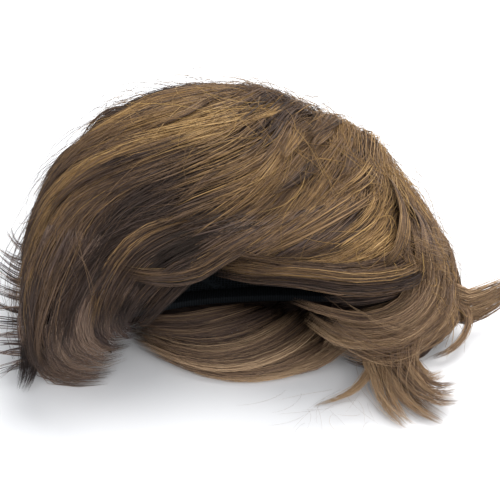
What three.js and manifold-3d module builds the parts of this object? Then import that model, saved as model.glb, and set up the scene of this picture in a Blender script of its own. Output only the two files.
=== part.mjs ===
// A short wig that lies on its side, in millimetres, +Z up. The fringe end points along -X, the nape
// end along +X and the mouth of the cap along -Y. The surface that it lies on is at Z = 0.
import * as THREE from "three";
import { ParametricGeometry } from "three/addons/geometries/ParametricGeometry.js";
import { mergeVertices } from "three/addons/utils/BufferGeometryUtils.js";
import Module from "manifold-3d";

const wasm = await Module();
wasm.setup();

// A dome is laid out by two angles: around the mouth (0 nape end, 90 upper side, 180 fringe end,
// 270 underside) and reach, from 0 at the back to the hem. The lengths are its half sizes from its
// middle: to the fringe end, the nape end, the upper side, the underside and the back. Bend is how far
// its two ends come forward, lean the share by which the upper side is lower at the nape end, and
// shoulder the share that is cut off between the upper side and the nape end.
const CAP = {
  x: -4, y: 72, z: 49, fringe: 116, nape: 112, up: 58, down: 36, back: 92, bend: 48, lean: 0.3, shoulder: 0.25,
};
const HAIR = {
  x: -8, y: 72, z: 36, fringe: 142, nape: 143, up: 94, down: 40, back: 113, bend: 72, lean: 0.1, shoulder: 0.25,
};
const SIDE_FILL = 0.5; // how much the two ends are fuller than a ball
const UNDER_FILL = 0.9; // and the underside, which is flattened
const BEND_POWER = 2.2;
const HEM_REACH = 131;
const HEM_LEAN = 7; // degrees that the hem reaches further at the fringe end, and less at the nape
const HAIR_HEM_REACH = 124;
const HAIR_HEM_LEAN = 5;

const CAP_WALL = 1.6;
const BAND_WALL = 1.0;
const BAND_SHARE = 0.06; // width of the edge band, as a share of the reach of the hem
const GAP = 0.4; // clear space between pieces
const RELIEF = 3.5; // how far the locks stand out from their backing
const CAP_CLEARANCE = 3.2; // from the cap to the backing, with room for the edge band
const BACKING_THROAT = 90; // how far the mouth is kept clear of backing in front of the hem
const LOCK_THROAT = 8; // and of locks
const CAP_STEPS = 32;
const BACKING_STEPS = 24;
const REACH_SHARES = [0, 0.12, 0.26, 0.4, 0.54, 0.68, 0.82, 1 - BAND_SHARE, 1];
const CROWN_DISC = 152; // past this distance back the backing belongs to the top hair alone
const FAR = 400; // larger than the wig

// Heading of the combed hair in plan, in degrees: 180 runs to the fringe end, 270 towards the mouth.
// A row for each distance forward, a column for each place from the fringe end to the nape.
const COMB_X = [-140, -90, -40, 20, 80, 140];
const COMB_ROWS = [
  { y: -50, heading: [265, 205, 188, 186, 195, 212] },
  { y: 0, heading: [262, 222, 206, 203, 212, 235] },
  { y: 60, heading: [255, 220, 206, 208, 226, 250] },
  { y: 120, heading: [240, 205, 196, 202, 222, 255] },
];
const FALL = 0.45; // how far hair drops for each unit of its way in plan
const LAST_REACH = 158; // combed hair ends here at the latest

const LOCK_SIDES = 6;
const LOCK_RINGS = 6;
const ROOT_DEPTH = 8; // how deep the middle of a combed lock lies under the surface at its root
const TIP_DEPTH = 3;
const COMB_SUBSTEPS = 4; // steps of the combed way for each ring of a lock
const LOCK_LEAN = 0.8; // power that moves the widest place of a lock towards its root
const LOCK_BLUNT = 0.6; // power that makes the ends of a lock blunter
const UNEVEN_AROUND = 5; // degrees by which the roots of a tier are set unevenly
const UNEVEN_REACH = 8;
const UNEVEN_LENGTH = 0.2; // share by which the lengths of its locks differ
const GOLDEN_SHARE = 0.618034;

// The part of the backing that belongs to each piece of hair, as angles seen from the mouth
const SECTORS = {
  top_hair: { from: 12, to: 158 },
  fringe_hair: { from: 158, to: 210 },
  nape_hair: { from: -30, to: 12 },
  under_hair: { from: 210, to: 330 },
};

// Rows of combed locks: where their roots are, how many, and the size of a lock
const TIERS = [
  { piece: "top_hair", reach: 20, from: 10, to: 180, count: 4, length: 96, width: 44, thick: 12 },
  { piece: "top_hair", reach: 50, from: 14, to: 158, count: 6, length: 96, width: 44, thick: 13 },
  { piece: "top_hair", reach: 80, from: 18, to: 152, count: 6, length: 96, width: 40, thick: 13 },
  { piece: "top_hair", reach: 108, from: 24, to: 150, count: 6, length: 84, width: 38, thick: 13 },
  { piece: "fringe_hair", reach: 62, from: 166, to: 198, count: 2, length: 96, width: 38, thick: 13 },
  { piece: "fringe_hair", reach: 96, from: 162, to: 204, count: 3, length: 84, width: 34, thick: 13 },
  { piece: "nape_hair", reach: 56, from: -16, to: 8, count: 2, length: 96, width: 38, thick: 13 },
  { piece: "nape_hair", reach: 90, from: -18, to: 14, count: 3, length: 90, width: 34, thick: 13 },
  { piece: "nape_hair", reach: 112, from: -4, to: 22, count: 3, length: 72, width: 30, thick: 12 },
];

// Locks that leave the dome: the points that each one passes, from its root to its tip
const CURTAIN = [
  { width: 28, thick: 9, path: [[116, 20, 58], [88, -29, 68], [46, -39, 69], [-14, -30, 80]] },
  { width: 30, thick: 9, path: [[108, 34, 66], [83, -12, 79], [44, -27, 82], [-20, -24, 88]] },
  { width: 24, thick: 9, path: [[14, -18, 100], [-22, -28, 91], [-46, -37, 72], [-70, -42, 52]] },
  { width: 30, thick: 9, path: [[2, -8, 100], [-40, -26, 86], [-70, -37, 60], [-92, -44, 38]] },
  { width: 36, thick: 9, path: [[-28, 0, 104], [-66, -28, 84], [-90, -47, 64], [-104, -57, 40]] },
  { width: 42, thick: 9, path: [[-50, 8, 104], [-86, -26, 82], [-107, -46, 60], [-119, -58, 36]] },
  { width: 38, thick: 9, path: [[100, 46, 73], [72, 4, 89], [26, -14, 94], [-34, -14, 96]] },
];
const FRINGE_ENDS = [
  { width: 18, thick: 10, path: [[-120, -8, 40], [-139, -34, 16], [-143, -50, 8], [-139, -64, 4]] },
  { width: 28, thick: 11, path: [[-114, -12, 40], [-134, -38, 16], [-121, -58, 7], [-89, -57, 5]] },
  { width: 28, thick: 11, path: [[-106, -10, 38], [-122, -40, 16], [-106, -52, 8], [-82, -46, 6]] },
  { width: 26, thick: 11, path: [[-98, -8, 36], [-110, -36, 18], [-94, -42, 11], [-76, -28, 8]] },
  { width: 15, thick: 7, path: [[-116, 36, 58], [-138, 30, 50], [-150, 29, 46], [-165, 30, 45]] },
  { width: 15, thick: 7, path: [[-118, 16, 44], [-138, 6, 37], [-151, 2, 33], [-166, 0, 32]] },
  { width: 15, thick: 7, path: [[-118, -2, 32], [-136, -12, 25], [-148, -18, 21], [-161, -22, 20]] },
];
const NAPE_ENDS = [
  { width: 19, thick: 9, path: [[112, 6, 44], [137, -10, 33], [152, -6, 31], [168, 8, 32]] },
  { width: 16, thick: 10, path: [[116, 12, 28], [137, -12, 17], [134, -32, 10], [108, -48, 7]] },
  { width: 26, thick: 10, path: [[104, -16, 42], [84, -56, 18], [94, -76, 8], [126, -74, 8]] },
  { width: 18, thick: 9, path: [[108, -18, 34], [89, -60, 12], [104, -64, 10], [127, -60, 11]] },
  { width: 16, thick: 8, path: [[102, -20, 32], [84, -66, 11], [96, -81, 6], [117, -84, 6]] },
  { width: 11, thick: 6, path: [[98, -14, 28], [76, -52, 11], [62, -68, 6], [46, -74, 4]] },
];

// The fan of hair that comes out under the hem and lies on the surface: its roots stand on a line and
// its tips on an ellipse
const FAN = { count: 8, rootFrom: -66, rootTo: 54, rootY: 14, rootZ: 10, width: 34, thick: 11, bow: 7 };
const FAN_EDGE = { x: -2, y: 2, wide: 80, deep: 55, from: 200, to: 324, z: 4 };

const HAIR_COLOURS = { top_hair: 0x7a5d42, fringe_hair: 0x513f38, nape_hair: 0x86694a, under_hair: 0x5f4a3c };
const CAP_COLOUR = 0x0d1012;
const BAND_COLOUR = 0x1c1e20;

const UP = [0, 0, 1];
const FORWARD_AND_UP = [0, -0.7, 0.7];
const LOOSE_LOCKS = {
  top_hair: { facing: FORWARD_AND_UP, rows: CURTAIN },
  fringe_hair: { facing: UP, rows: FRINGE_ENDS },
  nape_hair: { facing: UP, rows: NAPE_ENDS },
};
const RAD = Math.PI / 180;

// Grows from 0 to 1, faster at first where it fills out
function filledOut(swell, fill) {
  return swell * (1 + fill * (1 - swell));
}

function domePoint(dome, around, reach) {
  const toNape = Math.cos(around * RAD);
  const toTop = Math.sin(around * RAD);
  const forward = (1 - Math.cos(reach * RAD)) / 2;
  const swell = Math.abs(Math.sin(reach * RAD));
  const cut = 1 - dome.shoulder * Math.max(toNape, 0) * Math.max(toTop, 0);
  const half = (toNape > 0 ? dome.nape : dome.fringe) * cut;
  const upper = dome.up * swell * (1 - dome.lean * toNape) * cut;
  const lower = dome.down * filledOut(swell, UNDER_FILL);
  return new THREE.Vector3(
    dome.x + half * filledOut(swell, SIDE_FILL) * toNape,
    dome.y + dome.back * Math.cos(reach * RAD) - dome.bend * Math.abs(toNape) ** BEND_POWER * forward,
    dome.z + (toTop > 0 ? upper : lower) * toTop,
  );
}

// Two directions along the surface, forward and around, and its outward normal
function domeFrame(dome, around, reach) {
  const step = 0.05;
  const forward = domePoint(dome, around, reach + step).sub(domePoint(dome, around, reach - step));
  const sideways = domePoint(dome, around + step, reach).sub(domePoint(dome, around - step, reach));
  forward.divideScalar(2 * step);
  sideways.divideScalar(2 * step);
  const normal = sideways.clone().cross(forward).normalize();
  return { forward, sideways, normal };
}

function liftedPoint(dome, around, reach, lift) {
  const point = domePoint(dome, around, reach);
  const normal = reach > 1 ? domeFrame(dome, around, reach).normal : new THREE.Vector3(0, 1, 0);
  return point.addScaledVector(normal, lift);
}

function hemReach(around) {
  return HEM_REACH - HEM_LEAN * Math.cos(around * RAD);
}

function hairHemReach(around) {
  return HAIR_HEM_REACH - HAIR_HEM_LEAN * Math.cos(around * RAD);
}

function grownDome(dome, by) {
  const grown = { ...dome };
  for (const half of ["fringe", "nape", "up", "down", "back"]) {
    grown[half] += by;
  }
  return grown;
}

// A closed mesh with its shared corners merged and its flattened triangles dropped becomes a solid
function solidOf(geometry) {
  geometry.deleteAttribute("normal");
  geometry.deleteAttribute("uv");
  const merged = mergeVertices(geometry);
  const corners = merged.index.array;
  const kept = [];
  for (let i = 0; i < corners.length; i += 3) {
    const [a, b, c] = corners.slice(i, i + 3);
    if (a !== b && b !== c && c !== a) {
      kept.push(a, b, c);
    }
  }
  const vertProperties = merged.attributes.position.array;
  return new wasm.Manifold(new wasm.Mesh({ numProp: 3, vertProperties, triVerts: new Uint32Array(kept) }));
}

// A surface of rings: ringPoint gives the point at an angle around and at a ring's number
function ringSolid(steps, rings, ringPoint) {
  const place = (u, v, target) => {
    target.copy(ringPoint(360 * (u % 1), Math.round(v * rings)));
  };
  return solidOf(new ParametricGeometry(place, steps, rings));
}

// A filled dome up to its hem, run straight forward by its throat and closed
function filledDome(dome, hem, throat) {
  const last = REACH_SHARES.length - 1;
  return ringSolid(BACKING_STEPS, last + 2, (around, ring) => {
    if (ring > last + 1) {
      return new THREE.Vector3(dome.x, dome.y + dome.back * Math.cos(HEM_REACH * RAD) - throat, dome.z);
    }
    const point = domePoint(dome, around, hem(around) * REACH_SHARES[Math.min(ring, last)]);
    if (ring > last) {
      point.y -= throat;
    }
    return point;
  });
}

function capSolid() {
  const last = REACH_SHARES.length - 1;
  return ringSolid(CAP_STEPS, 2 * last + 1, (around, ring) => {
    const outside = ring <= last;
    const share = REACH_SHARES[outside ? ring : 2 * last + 1 - ring];
    return liftedPoint(CAP, around, hemReach(around) * share, outside ? 0 : -CAP_WALL);
  });
}

// The edge band is folded over the hem: its section is a U, outside, round the edge and inside
function bandSolid() {
  const near = GAP;
  const far = GAP + BAND_WALL;
  const back = 1 - BAND_SHARE;
  const section = [
    { share: back, lift: far, past: 0 },
    { share: 1, lift: far, past: far },
    { share: 1, lift: -CAP_WALL - far, past: far },
    { share: back, lift: -CAP_WALL - far, past: 0 },
    { share: back, lift: -CAP_WALL - near, past: 0 },
    { share: 1, lift: -CAP_WALL - near, past: near },
    { share: 1, lift: near, past: near },
    { share: back, lift: near, past: 0 },
  ];
  return ringSolid(CAP_STEPS, section.length, (around, ring) => {
    const { share, lift, past } = section[ring % section.length];
    const reach = hemReach(around) * share;
    const forward = domeFrame(CAP, around, reach).forward.normalize();
    return liftedPoint(CAP, around, reach, lift).addScaledVector(forward, past);
  });
}

// The place of a value between the entries of a rising list, as a whole number and a share
function placeIn(list, value) {
  let index = 0;
  while (index < list.length - 2 && value > list[index + 1]) {
    index += 1;
  }
  const share = (value - list[index]) / (list[index + 1] - list[index]);
  return { index, share: THREE.MathUtils.clamp(share, 0, 1) };
}

function combDirection(point) {
  const column = placeIn(COMB_X, point.x);
  const row = placeIn(COMB_ROWS.map(({ y }) => y), point.y);
  const along = ({ heading }) =>
    THREE.MathUtils.lerp(heading[column.index], heading[column.index + 1], column.share);
  const near = along(COMB_ROWS[row.index]);
  const far = along(COMB_ROWS[row.index + 1]);
  const angle = RAD * THREE.MathUtils.lerp(near, far, row.share);
  return new THREE.Vector3(Math.cos(angle), Math.sin(angle), -FALL);
}

// One step over the surface in the combed direction, as changes of around and reach
function combStep(around, reach, length) {
  const { forward, sideways, normal } = domeFrame(HAIR, around, reach);
  const way = combDirection(domePoint(HAIR, around, reach)).projectOnPlane(normal).setLength(length);
  const ff = forward.dot(forward);
  const fs = forward.dot(sideways);
  const ss = sideways.dot(sideways);
  const wf = way.dot(forward);
  const ws = way.dot(sideways);
  const det = ff * ss - fs * fs;
  return { around: (ws * ff - wf * fs) / det, reach: (wf * ss - ws * fs) / det };
}

// The spine of a lock that is combed over the dome, as points with the way up at each
function combedSpine(around, reach, length) {
  const steps = LOCK_RINGS * COMB_SUBSTEPS;
  const spine = [];
  let place = { around, reach };
  for (let i = 0; i <= steps; i += 1) {
    if (i % COMB_SUBSTEPS === 0) {
      const share = i / steps;
      const lift = -THREE.MathUtils.lerp(TIP_DEPTH, ROOT_DEPTH, (1 - share) ** 2);
      const point = liftedPoint(HAIR, place.around, place.reach, lift);
      spine.push({ point, normal: domeFrame(HAIR, place.around, place.reach).normal });
    }
    const step = combStep(place.around, place.reach, length / steps);
    if (place.reach + step.reach < LAST_REACH) {
      place = { around: place.around + step.around, reach: place.reach + step.reach };
    }
  }
  return spine;
}

// The spine of a lock that leaves the dome, along a smooth curve; facing is the way its flat side looks
function looseSpine(path, facing) {
  const curve = new THREE.CatmullRomCurve3(path.map((point) => new THREE.Vector3(...point)));
  const normal = new THREE.Vector3(...facing);
  return curve.getSpacedPoints(LOCK_RINGS).map((point) => ({ point, normal }));
}

// A lock is a flat oval swept along its spine, widest before the middle and pointed at both ends
function lockSolid(spine, width, thick, grow) {
  const last = LOCK_RINGS;
  const place = (u, v, target) => {
    const ring = Math.round(v * last);
    const { point, normal } = spine[ring];
    const before = spine[Math.max(ring - 1, 0)].point;
    const after = spine[Math.min(ring + 1, last)].point;
    const along = after.clone().sub(before).normalize();
    const side = along.clone().cross(normal).normalize();
    const up = side.clone().cross(along);
    const fullness = Math.sin(Math.PI * v ** LOCK_LEAN) ** LOCK_BLUNT;
    const angle = -2 * Math.PI * (u % 1);
    const isEnd = ring === 0 || ring === last;
    const halfWidth = isEnd ? 0 : (width / 2) * fullness + grow;
    const halfThick = isEnd ? 0 : (thick / 2) * fullness + grow;
    target.copy(point);
    target.addScaledVector(side, halfWidth * Math.cos(angle));
    target.addScaledVector(up, halfThick * Math.sin(angle));
    if (isEnd) {
      target.addScaledVector(along, ring === 0 ? -grow : grow);
    }
  };
  return solidOf(new ParametricGeometry(place, LOCK_SIDES, last));
}

// Even but irregular numbers between 0 and 1, the same each time
function uneven(number) {
  return (number * GOLDEN_SHARE) % 1;
}

function tierLocks(piece, grow) {
  const locks = [];
  for (const tier of TIERS.filter((row) => row.piece === piece)) {
    for (let i = 0; i < tier.count; i += 1) {
      const share = i / (tier.count - 1);
      const change = uneven(i + tier.reach) - 0.5;
      const around = THREE.MathUtils.lerp(tier.from, tier.to, share) + UNEVEN_AROUND * change;
      const reach = tier.reach + UNEVEN_REACH * change;
      const spine = combedSpine(around, reach, tier.length * (1 + UNEVEN_LENGTH * change));
      locks.push(lockSolid(spine, tier.width, tier.thick, grow));
    }
  }
  return locks;
}

function looseLocks({ facing, rows }, grow) {
  return rows.map(({ path, width, thick }) => lockSolid(looseSpine(path, facing), width, thick, grow));
}

function fanLocks(grow) {
  const locks = [];
  for (let i = 0; i < FAN.count; i += 1) {
    const share = i / (FAN.count - 1);
    const angle = RAD * THREE.MathUtils.lerp(FAN_EDGE.from, FAN_EDGE.to, share);
    const root = [THREE.MathUtils.lerp(FAN.rootFrom, FAN.rootTo, share), FAN.rootY, FAN.rootZ];
    const tip = [
      FAN_EDGE.x + FAN_EDGE.wide * Math.cos(angle),
      FAN_EDGE.y + FAN_EDGE.deep * Math.sin(angle),
      FAN_EDGE.z,
    ];
    const via = root.map((value, axis) => (value + tip[axis]) / 2);
    via[0] += FAN.bow;
    via[1] -= FAN.bow;
    locks.push(lockSolid(looseSpine([root, via, tip], UP), FAN.width, FAN.thick, grow));
  }
  return locks;
}

function boxSolid(size, middle) {
  const box = new THREE.BoxGeometry(...size);
  box.translate(...middle);
  return solidOf(box);
}

// A wedge that opens from the middle of the cap and runs the whole depth of the wig
function wedgeSolid({ from, to }, grow) {
  const halfAngle = (RAD * (to - from)) / 2;
  const bisector = (RAD * (to + from)) / 2;
  const setBack = (GAP / 2 - grow) / Math.sin(halfAngle);
  const apex = new THREE.Vector2(CAP.x + setBack * Math.cos(bisector), CAP.z + setBack * Math.sin(bisector));
  const outline = [apex];
  for (const share of [0, 1 / 3, 2 / 3, 1]) {
    const angle = RAD * THREE.MathUtils.lerp(from, to, share);
    outline.push(new THREE.Vector2(apex.x + FAR * Math.cos(angle), apex.y + FAR * Math.sin(angle)));
  }
  const wedge = new THREE.ExtrudeGeometry(new THREE.Shape(outline), { depth: 2 * FAR, bevelEnabled: false });
  wedge.rotateX(Math.PI / 2);
  wedge.translate(0, FAR, 0);
  return solidOf(wedge);
}

function joined(solids) {
  return solids.reduce((sum, solid) => sum.add(solid));
}

function largestBody(solid) {
  return solid.decompose().sort((a, b) => b.volume() - a.volume())[0];
}

// Backing and locks of one piece of hair; grow makes a slightly larger copy, to cut its neighbours with
function hairSolid(piece, grow) {
  const backingDome = { ...grownDome(HAIR, grow - RELIEF), down: HAIR.down + grow };
  const capRoom = (throat) => filledDome(grownDome(CAP, CAP_CLEARANCE - grow), hemReach, throat);
  const shell = filledDome(backingDome, hairHemReach, 0).subtract(capRoom(BACKING_THROAT));
  const disc = boxSolid([2 * FAR, FAR, 2 * FAR], [0, CROWN_DISC + FAR / 2 - grow, 0]);
  const sector = shell.intersect(wedgeSolid(SECTORS[piece], grow));
  const backing = piece === "top_hair" ? sector.add(shell.intersect(disc)) : sector;
  const ends = LOOSE_LOCKS[piece] ? looseLocks(LOOSE_LOCKS[piece], grow) : fanLocks(grow);
  return joined([backing, ...tierLocks(piece, grow), ...ends]).subtract(capRoom(LOCK_THROAT));
}

function meshOf(name, solid, colour, roughness) {
  const { vertProperties, triVerts } = solid.getMesh();
  const geometry = new THREE.BufferGeometry();
  geometry.setAttribute("position", new THREE.BufferAttribute(vertProperties, 3));
  geometry.setIndex(new THREE.BufferAttribute(triVerts, 1));
  geometry.computeVertexNormals();
  const material = new THREE.MeshStandardMaterial({ color: colour, roughness, metalness: 0 });
  const mesh = new THREE.Mesh(geometry, material);
  mesh.name = name;
  return mesh;
}

const wig = new THREE.Group();
wig.add(meshOf("cap", capSolid(), CAP_COLOUR, 0.9));
wig.add(meshOf("edge_band", bandSolid(), BAND_COLOUR, 0.8));

const belowSurface = boxSolid([2 * FAR, 2 * FAR, FAR], [0, 0, -FAR / 2]);
let taken = belowSurface;
for (const piece of Object.keys(SECTORS)) {
  const solid = largestBody(hairSolid(piece, 0).subtract(taken));
  wig.add(meshOf(piece, solid, HAIR_COLOURS[piece], 0.6));
  taken = taken.add(hairSolid(piece, GAP));
}

// The origin is at the middle of the underside of the wig's box
const bounds = new THREE.Box3().setFromObject(wig);
const middle = bounds.getCenter(new THREE.Vector3());
wig.position.set(-middle.x, -middle.y, -bounds.min.z);

export default wig;
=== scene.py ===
"""A short wig that lies on its side: a net cap with an edge band, and fibre hair in combed locks."""

import math
from typing import NamedTuple

import bpy
import numpy as np
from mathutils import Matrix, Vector
from mathutils.bvhtree import BVHTree


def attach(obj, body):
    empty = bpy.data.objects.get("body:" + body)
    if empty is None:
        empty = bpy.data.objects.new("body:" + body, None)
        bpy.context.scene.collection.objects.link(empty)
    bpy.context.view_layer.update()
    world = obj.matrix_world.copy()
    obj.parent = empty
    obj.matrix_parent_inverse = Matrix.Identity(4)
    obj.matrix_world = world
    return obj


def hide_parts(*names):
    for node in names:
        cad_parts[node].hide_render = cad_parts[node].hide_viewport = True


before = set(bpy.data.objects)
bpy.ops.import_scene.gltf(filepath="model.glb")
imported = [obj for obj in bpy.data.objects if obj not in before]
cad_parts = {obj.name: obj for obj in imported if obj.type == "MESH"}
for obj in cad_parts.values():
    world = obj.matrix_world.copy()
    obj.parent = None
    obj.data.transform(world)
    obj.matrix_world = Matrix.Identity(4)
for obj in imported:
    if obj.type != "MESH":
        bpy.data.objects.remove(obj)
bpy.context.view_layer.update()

bl_info = {
    "name": "Short wig",
    "version": (1, 0, 0),
    "blender": (4, 5, 0),
    "location": "3D View > Sidebar > Wig",
    "description": "Dresses a short wig that lies on its side with a net cap and fibre hair",
    "category": "Add Mesh",
}

MM = 0.001
BODY = "root"
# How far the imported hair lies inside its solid, in millimetres, and the planes where it is cut off: a point
# of each and the way that it faces
PACKED = {
    "top": {"depth": 3.2, "cuts": (((0, -28, 0), (0.15, -1, 0)),)},
    "fringe": {"depth": 3.6, "cuts": (((0, -34, 0), (0, -1, 0)), ((-136, 0, 0), (-1, 0, 0)))},
    "nape": {"depth": 3.6, "cuts": (
        ((0, -26, 0), (0, -1, 0)), ((127, 0, 0), (1, 0, 0)), ((112, -6, 0), (0.57, -0.82, 0)))},
    "under": {"depth": 3.2, "cuts": (((0, -4, 0), (0, -1, 0)),)},
}
SEED = 20
# The wig's own coordinates are in millimetres, with the fringe end along -X, the nape end along +X and
# the mouth along -Y; this moves them to the part's origin
WIG_TO_PART = np.array((-1.0, -49.736, 0.0))

# The dome that the outer hair follows: half sizes from its middle, in millimetres
DOME = {
    "x": -8, "y": 72, "z": 36, "fringe": 142, "nape": 143, "up": 94, "down": 40,
    "back": 113, "bend": 72, "lean": 0.1, "shoulder": 0.25,
}
SIDE_FILL = 0.5
UNDER_FILL = 0.9
BEND_POWER = 2.2
# Reach in degrees where combed hair ends at the latest, by degrees around the mouth
LAST_AROUND = (-90, -30, 0, 12, 24, 32, 38, 44, 62, 84, 100, 120, 135, 150, 165, 210, 270)
LAST_REACH = (118, 112, 108, 108, 110, 118, 127, 134, 143, 148, 150, 150, 148, 143, 136, 126, 120)

# Heading of the combed hair in plan, in degrees: 180 runs to the fringe end, 270 towards the mouth.
# A row for each distance forward, a column for each place from the fringe end to the nape.
COMB_X = (-140, -100, -60, -20, 20, 60, 100, 140)
COMB_Y = (-45, -15, 15, 50, 90, 140)
COMB_HEADINGS = np.array((
    (255, 238, 200, 170, 160, 185, 212, 218),
    (248, 250, 190, 180, 202, 206, 215, 217),
    (250, 190, 195, 190, 230, 226, 232, 238),
    (240, 188, 205, 210, 242, 234, 248, 258),
    (238, 202, 206, 230, 240, 237, 248, 258),
    (232, 215, 215, 232, 238, 238, 245, 252),
), float)
FALL = 0.45  # how far hair drops for each unit of its way in plan

STATIONS = 8  # points along a strand
ALONG = np.linspace(0, 1, STATIONS)
STRAND_SIDES = 3
FIBRES_ACROSS = 0.008  # change of the fibre map for each millimetre across a lock
SUBSTEPS = 3  # steps of the combed way between two points of a strand
LINE_POINTS = 65  # points along the middle of a loose lock
LOCKS_IN_TRESS = 8
TRESS_DRAWN = 0.85  # how much less a way along the combing counts when locks are grouped
TRESS_HALF_WIDTH = 15  # millimetres
TRESS_TURN = 4  # degrees by which locks at the side of a tress turn to its middle
TRESS_SWELL = 1.8  # millimetres by which its middle stands higher than its sides
ROW_STEPS = 181  # points that measure a row
ROW_UNEVEN = 0.4  # share of the spacing by which roots stray along their row
REACH_UNEVEN = 4.5  # degrees by which roots stray from their row
ROOT_SCATTER = 11  # millimetres by which strands start before or behind the root of their lock
ROOT_SINK = 4.0  # millimetres by which roots lie deeper than the rest of a strand
CLOSING = 0.7  # share of its width by which a combed lock closes to its tip
SWAY = 7  # radians of the sway along a strand
PHASES = (0, 6)  # radians
LOCK_LENGTHS = (0.7, 1.1)  # shares of the length of the combed hair
STRAND_LENGTHS = (0.75, 1.05)  # shares of the length of the lock
STRAND_WIDTHS = (0.75, 1.2)  # shares of the width of a strand or wisp
TAPER = ((0, 0.1, 0.6, 1), (0.7, 1, 1, 0.35))  # shares of that width along a strand
WISP_DARKER = 0.04  # tone
WISP_CLEAR = 0.3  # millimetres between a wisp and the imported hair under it
STRAND_CLEAR = 0.4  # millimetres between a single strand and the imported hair
LOCK_SWELL = 1.6  # millimetres by which the middle of a combed lock stands higher than its sides
STRAND_TURN = 1.1  # degrees by which strands turn from their lock
STRAY_TURN = 9.0  # degrees by which stray strands do
STRAY_LIFT = (0.3, 2.5)  # millimetres by which their tips stand higher
ENDS_UNEVEN = 0.38  # share of a loose lock before its tip where strands may end
BUNCH_TONE = 0.13  # spread of the tones of a loose lock's bunches
LOOSE_TONE = 0.16  # spread of the tones of its strands
CLEAR_WITHIN = 7.0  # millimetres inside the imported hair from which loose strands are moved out
PACKED_VOXEL = 4.5  # millimetres
STRANDS_TO_A_WISP = 6  # in a loose lock
BUNCH_WIDTH = 7  # millimetres of a loose lock that gather to one tip
STRAY_SHARE = 0.15  # strands that leave the way of their lock
LEAST_SHARE = 0.24  # combed strands with less room than this share of their length are left out
SHORTEST_LAYER = 25  # millimetres
TALLEST = 145.0  # millimetres from the floor to the highest loose strand
LEAST_HEIGHT = 0.4  # millimetres from the floor to the middle of the lowest strand
# How a tress differs from the next, and a lock from the others of its tress: degrees of turn, curl and sway,
# millimetres of lift, tone, and radians of phase
TRESS_SPREAD = {"turn": 4, "curl": 6, "sway": 5, "lift": 1.4, "tone": 0.12}
LOCK_SPREAD = {"turn": 3, "curl": 4, "sway": 3, "lift": 0.5, "tone": 0.05, "phase": 0.4}
# Slow changes over the hair: how much, over how many millimetres, and how much longer along the combing
DRIFTS = {"turn": (3, 55, 1), "lift": (1.2, 60, 1), "tone": (0.07, 36, 4)}
DRIFT_WAVES = 6
COMBED_WAY = np.array((-0.8, -0.55, -0.2))
# Share by which the fibre of each group is faded to a cool grey: on the nape and under groups this is painted
# cool bounce light from the pale floor, and at the fringe end it is partly painted shade and partly a cooler
# dye.
# Each group's random numbers follow its place here.
LIGHT_AND_DYE_FADES = {"top": 0.1, "fringe": 0.48, "nape": 0.28, "under": 0.32, "loose": 0.0}
FADE_TINT = (1.15, 0.94, 1.1)
FIBRE_TONES = ("shade", "dark", "middle", "golden", "light")


class Row(NamedTuple):
    """A row of roots round the dome: degrees of reach, and its ends in degrees around the mouth."""

    reach: float
    first: float
    last: float


ROWS = {
    "crown": [Row(6, 0, 360), Row(18, -20, 200), Row(32, -10, 190), Row(45, 8, 170)],
    "side": [Row(57, 8, 168), Row(69, 8, 166), Row(81, 8, 164), Row(92, 8, 162)],
    "front": [Row(102, 8, 160), Row(111, 8, 158), Row(120, 8, 152), Row(129, 12, 140)],
    "fringe": [Row(44, 168, 204), Row(58, 166, 206), Row(72, 164, 208), Row(86, 162, 208), Row(100, 160, 206)],
    "nape": [Row(44, -26, 10), Row(58, -26, 10), Row(72, -26, 10), Row(86, -24, 10), Row(99, -20, 10)],
    "under": [Row(46, 204, 336), Row(82, 208, 336)],
}


class Patch(NamedTuple):
    """A place of the hair, its size in millimetres, and the change that fades out round it."""

    at: tuple
    size: float
    change: float


# Tones of the fibre from 0, dark, to 1, light: along the wig, and where it is lighter or darker than that.
# They are partly the fibre's own mix of dark and golden strands and partly painted light: the darker fringe
# end and the darker patches at the crown, the front-facing middle and under the curtain's edge are painted
# shade, and the lighter patches on the top are painted highlights
TONE_X = (-160, -120, -80, -40, 20, 80, 150)
TONES = (0.24, 0.27, 0.33, 0.46, 0.58, 0.6, 0.56)
TONE_AND_PAINTED_LIGHT_PATCHES = [
    Patch((22, 62), 24, -0.16), Patch((-18, 46), 34, 0.34), Patch((-26, -2), 34, -0.17),
    Patch((56, -2), 36, 0.08), Patch((-66, 2), 34, -0.2), Patch((-50, -42), 34, -0.2),
    Patch((24, -36), 34, -0.16), Patch((-72, 78), 36, 0.36), Patch((68, 92), 34, -0.07),
    Patch((120, 30), 36, 0.08), Patch((0, 170), 70, -0.12),
]
# Where the combed hair stands higher or lower than the dome, in millimetres
LIFT_PATCHES = [
    Patch((15, 113, 117), 24, 5), Patch((62, 106, 95), 30, 6), Patch((88, 104, 79), 22, 7),
    Patch((130, 24, 45), 26, 7), Patch((104, 80, 70), 20, -5), Patch((-103, 111, 100), 26, -6),
]

UP = (0.0, 0.0, 1.0)
FORWARD_AND_UP = (0.0, -0.7, 0.7)
FORWARD = (0.0, -0.94, 0.34)
FORWARD_AND_SIDE = (0.66, -0.66, 0.36)


class Lock(NamedTuple):
    """A lock that leaves the dome. Lengths are in millimetres."""

    path: tuple  # the points that it passes from its root to its tip
    width: float
    thick: float
    strands: int
    tone: float  # from dark, 0, to golden, 1
    gather: float = 0.55  # share by which a bunch gathers to its tip
    starts: float = 0.14  # share of the path over which its strands start
    bunches: int = 0  # as many as its width asks for, where it is 0
    fray: float = 0.17
    fine: bool = False  # single fine strands, with no wisps
    facing: tuple = None  # its own way to face


# The curtain faces the front, away from the light: its lowered tones, darkest in the three locks that run down
# to the mouth's fringe end, are partly painted shade
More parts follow.
